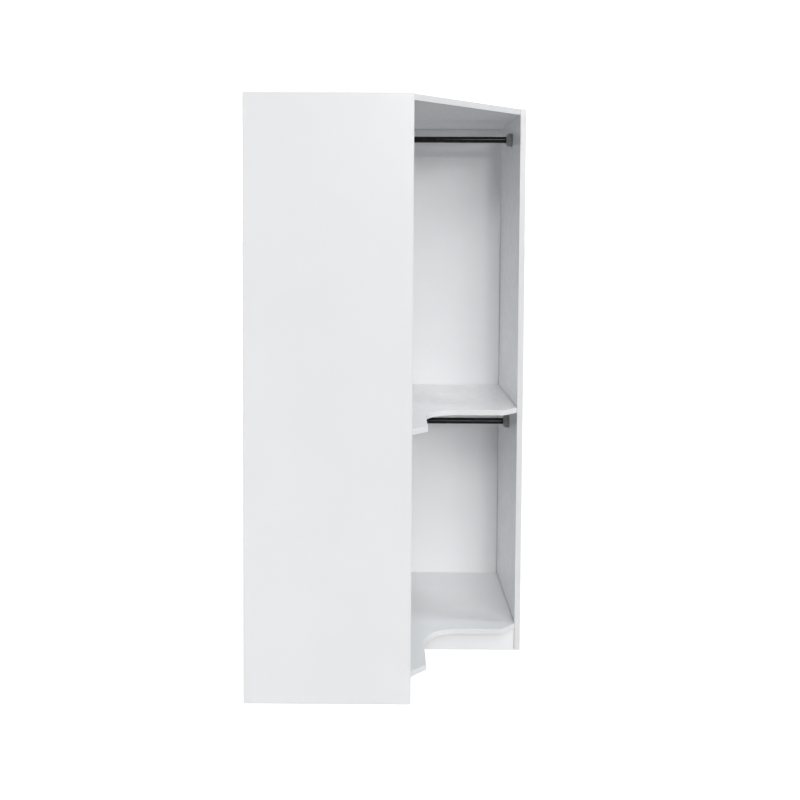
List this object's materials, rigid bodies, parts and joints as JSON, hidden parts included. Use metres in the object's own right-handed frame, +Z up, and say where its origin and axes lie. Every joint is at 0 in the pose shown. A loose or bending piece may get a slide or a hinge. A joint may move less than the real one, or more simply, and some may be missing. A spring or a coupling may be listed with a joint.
{
  "type": "corner wardrobe",
  "caption": "Open corner wardrobe with a diagonal top, L-shaped shelves with a rounded inner corner, end panels, plinths and round hanging rods in domed end cups.",
  "frame": {"origin": "middle of the footprint, on the floor", "axes": "+Z up; the room corner is at -X and +Y; +X runs along the right wing's wall away from the corner, -Y along the left wing's wall away from the corner"},
  "size_m": [1.02, 1.02, 2.1],
  "materials": {
    "white_board": "white melamine-faced board, satin, with white edge banding",
    "rod_black": "satin black powder coat on steel tube",
    "cup_grey": "dark grey satin on die-cast metal",
    "screw_steel": "bright plated",
    "screw_zinc": "zinc plated",
    "cam_zinc": "bare die-cast zinc",
    "bolt_steel": "zinc plated"
  },
  "bodies": {
    "carcase": {"left_end_panel": "white_board", "right_end_panel": "white_board", "left_back_panel": "white_board", "right_back_panel": "white_board", "top_panel": "white_board", "middle_shelf": "white_board", "bottom_shelf": "white_board", "left_plinth": "white_board", "right_plinth": "white_board", "upper_rod_cup_left": "cup_grey", "upper_rod_cup_right": "cup_grey", "lower_rod_cup_left": "cup_grey", "lower_rod_cup_right": "cup_grey", "upper_cup_left_screw_low": "screw_steel", "upper_cup_left_screw_high": "screw_steel", "upper_cup_right_screw_low": "screw_steel", "upper_cup_right_screw_high": "screw_steel", "lower_cup_left_screw_low": "screw_steel", "lower_cup_left_screw_high": "screw_steel", "lower_cup_right_screw_low": "screw_steel", "lower_cup_right_screw_high": "screw_steel", "back_screw_top_left_1": "screw_zinc", "back_screw_top_left_2": "screw_zinc", "back_screw_top_right_1": "screw_zinc", "back_screw_top_right_2": "screw_zinc", "back_screw_middle_left_1": "screw_zinc", "back_screw_middle_left_2": "screw_zinc", "back_screw_middle_right_1": "screw_zinc", "back_screw_middle_right_2": "screw_zinc", "back_screw_bottom_left_1": "screw_zinc", "back_screw_bottom_left_2": "screw_zinc", "back_screw_bottom_right_1": "screw_zinc", "back_screw_bottom_right_2": "screw_zinc", "cam_lock_top_left_front": "cam_zinc", "cam_lock_top_left_rear": "cam_zinc", "cam_lock_top_right_front": "cam_zinc", "cam_lock_top_right_rear": "cam_zinc", "cam_lock_middle_left_front": "cam_zinc", "cam_lock_middle_left_rear": "cam_zinc", "cam_lock_middle_right_front": "cam_zinc", "cam_lock_middle_right_rear": "cam_zinc", "cam_lock_bottom_left_front": "cam_zinc", "cam_lock_bottom_left_rear": "cam_zinc", "cam_lock_bottom_right_front": "cam_zinc", "cam_lock_bottom_right_rear": "cam_zinc", "cam_bolt_top_left_front": "bolt_steel", "cam_bolt_top_left_rear": "bolt_steel", "cam_bolt_top_right_front": "bolt_steel", "cam_bolt_top_right_rear": "bolt_steel", "cam_bolt_middle_left_front": "bolt_steel", "cam_bolt_middle_left_rear": "bolt_steel", "cam_bolt_middle_right_front": "bolt_steel", "cam_bolt_middle_right_rear": "bolt_steel", "cam_bolt_bottom_left_front": "bolt_steel", "cam_bolt_bottom_left_rear": "bolt_steel", "cam_bolt_bottom_right_front": "bolt_steel", "cam_bolt_bottom_right_rear": "bolt_steel"},
    "upper_rod_body": {"upper_rod": "rod_black"},
    "lower_rod_body": {"lower_rod": "rod_black"}
  },
  "joints": [
    {"name": "upper_rod_spin", "type": "hinge", "parent": "carcase", "child": "upper_rod_body", "pos_m": [-0.003, 0.165, 2.004], "axis": [1, 0, 0], "continuous": true},
    {"name": "lower_rod_spin", "type": "hinge", "parent": "carcase", "child": "lower_rod_body", "pos_m": [-0.003, 0.165, 0.858], "axis": [1, 0, 0], "continuous": true}
  ]
}
